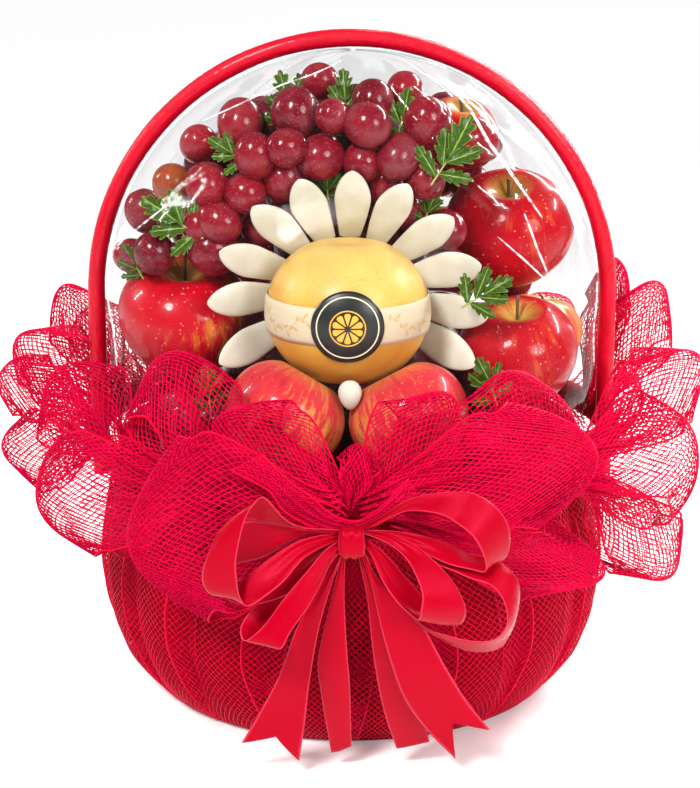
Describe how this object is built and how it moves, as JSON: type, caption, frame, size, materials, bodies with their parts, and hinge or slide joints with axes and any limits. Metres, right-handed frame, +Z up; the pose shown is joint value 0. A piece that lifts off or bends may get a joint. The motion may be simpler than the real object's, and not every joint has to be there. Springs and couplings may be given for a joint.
{
  "type": "fruit gift basket",
  "caption": "Basket of fruit under clear film, with a hoop handle, a ruff of mesh ribbon loops round the rim and a satin bow in front.",
  "frame": {"origin": "centre of the basket's base, on the surface it stands on", "axes": "+Z up, the front with the bow and the pear faces -Y, the handle spans X"},
  "size_m": [0.4932, 0.4964, 0.4695],
  "materials": {
    "deep_red_mesh": "dark crimson net gathered over the basket wall",
    "handle_red": "red ribbon wound round a hoop, satin",
    "clear_film": "clear, thin, glossy and a little creased",
    "apple_skin": "fresh apple skin, smooth and shiny, red with yellow flecks",
    "pear_skin": "fresh pear skin, golden with fine russet dots",
    "petal_cream": "cream white, waxy",
    "leaf_green": "green leaf with paler edges",
    "grape_skin": "purple red grape skin with bloom",
    "cream_paper": "cream paper with a faint gold ornament",
    "label_black": "black card with a cream ring and a gold rosette",
    "crimson_mesh": "open mesh ribbon, crimson pink with a shimmer",
    "rose_satin": "satin ribbon, crimson pink"
  },
  "bodies": {
    "root": {"basket": "deep_red_mesh", "handle": "handle_red", "film": "clear_film", "grapes": "grape_skin", "apple_left": "apple_skin", "apple_right_top": "apple_skin", "apple_right_low": "apple_skin", "apple_right_back": "apple_skin", "apple_top_back": "apple_skin", "apple_front_left": "apple_skin", "apple_front_right": "apple_skin", "apple_back_left": "apple_skin", "apple_back_middle": "apple_skin", "apple_back_right": "apple_skin", "pear": "pear_skin", "pear_band": "cream_paper", "pear_label": "label_black", "petal_00": "petal_cream", "petal_01": "petal_cream", "petal_02": "petal_cream", "petal_03": "petal_cream", "petal_04": "petal_cream", "petal_05": "petal_cream", "petal_06": "petal_cream", "petal_07": "petal_cream", "petal_08": "petal_cream", "petal_09": "petal_cream", "petal_10": "petal_cream", "petal_tip_low": "petal_cream", "sprig_00": "leaf_green", "sprig_01": "leaf_green", "sprig_02": "leaf_green", "sprig_03": "leaf_green", "sprig_04": "leaf_green", "sprig_05": "leaf_green", "sprig_06": "leaf_green", "sprig_07": "leaf_green", "sprig_08": "leaf_green", "sprig_09": "leaf_green", "sprig_10": "leaf_green", "sprig_11": "leaf_green", "sprig_12": "leaf_green", "sprig_13": "leaf_green", "ruff": "crimson_mesh", "bow": "rose_satin"}
  },
  "joints": []
}
